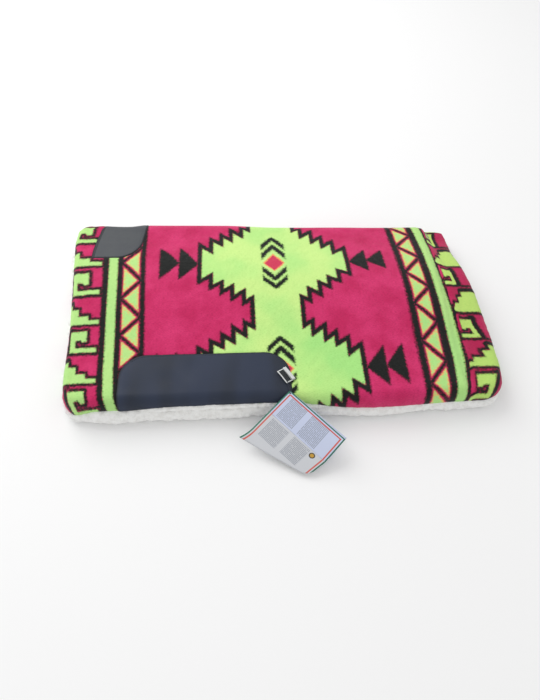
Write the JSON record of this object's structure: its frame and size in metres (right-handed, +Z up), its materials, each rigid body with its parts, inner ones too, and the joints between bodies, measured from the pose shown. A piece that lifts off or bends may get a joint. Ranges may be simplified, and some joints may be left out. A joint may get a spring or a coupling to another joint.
{
  "type": "western saddle pad",
  "caption": "Western saddle pad with a patterned plush cover, felt core, fleece lining and leather wear patches, folded over its spine, with a hang tag on a cord.",
  "frame": {"origin": "middle of the flat underside of the folded pad, on the surface it lies on", "axes": "+X along the horse's spine from the front of the pad to its rear, +Y from the two hems to the fold, +Z up"},
  "size_m": [0.772, 0.5578, 0.0724],
  "materials": {
    "plush": "woven plush with a geometric pattern",
    "felt": "pressed felt",
    "fleece": "fluffy fleece",
    "leather": "matte smooth leather",
    "label": "woven tape",
    "cord": "twisted cord",
    "paper": "printed card"
  },
  "bodies": {
    "off_flap": {"off_cover": "plush", "off_core": "felt", "off_lining": "fleece", "off_wear_leather": "leather", "off_withers_leather": "leather"},
    "spine_lower": {"spine_lower_cover": "plush", "spine_lower_core": "felt", "spine_lower_lining": "fleece", "spine_lower_withers_leather": "leather"},
    "spine_upper": {"spine_upper_cover": "plush", "spine_upper_core": "felt", "spine_upper_lining": "fleece", "spine_upper_withers_leather": "leather"},
    "near_flap": {"near_cover": "plush", "near_core": "felt", "near_lining": "fleece", "near_wear_leather": "leather", "near_withers_leather": "leather", "woven_label": "label"},
    "hang_tag": {"tag_tie": "cord", "tag_upper_panel": "paper", "tag_back_sheet": "paper"},
    "tag_lower": {"tag_lower_panel": "paper"}
  },
  "joints": [
    {"name": "lower_fold", "type": "hinge", "parent": "off_flap", "child": "spine_lower", "pos_m": [0, 0.2004, 0.00415], "axis": [-1, 0, 0], "range_deg": [0, 58]},
    {"name": "middle_fold", "type": "hinge", "parent": "spine_lower", "child": "spine_upper", "pos_m": [0, 0.21591, 0.031], "axis": [-1, 0, 0], "range_deg": [0, 58]},
    {"name": "upper_fold", "type": "hinge", "parent": "spine_upper", "child": "near_flap", "pos_m": [0, 0.2004, 0.05785], "axis": [-1, 0, 0], "range_deg": [0, 58]},
    {"name": "tag_swing", "type": "hinge", "parent": "near_flap", "child": "hang_tag", "pos_m": [0.00626, -0.18797, 0.06097], "axis": [-0.9903, -0.1392, 0], "range_deg": [0, 90]},
    {"name": "tag_crease", "type": "hinge", "parent": "hang_tag", "child": "tag_lower", "pos_m": [-0.02531, -0.23499, 0.044], "axis": [-0.7154, 0.6671, 0.2079], "range_deg": [0, 165]}
  ],
  "couplings": [
    {"joint": "middle_fold", "follows": "lower_fold", "ratio": 1},
    {"joint": "upper_fold", "follows": "lower_fold", "ratio": 1}
  ]
}
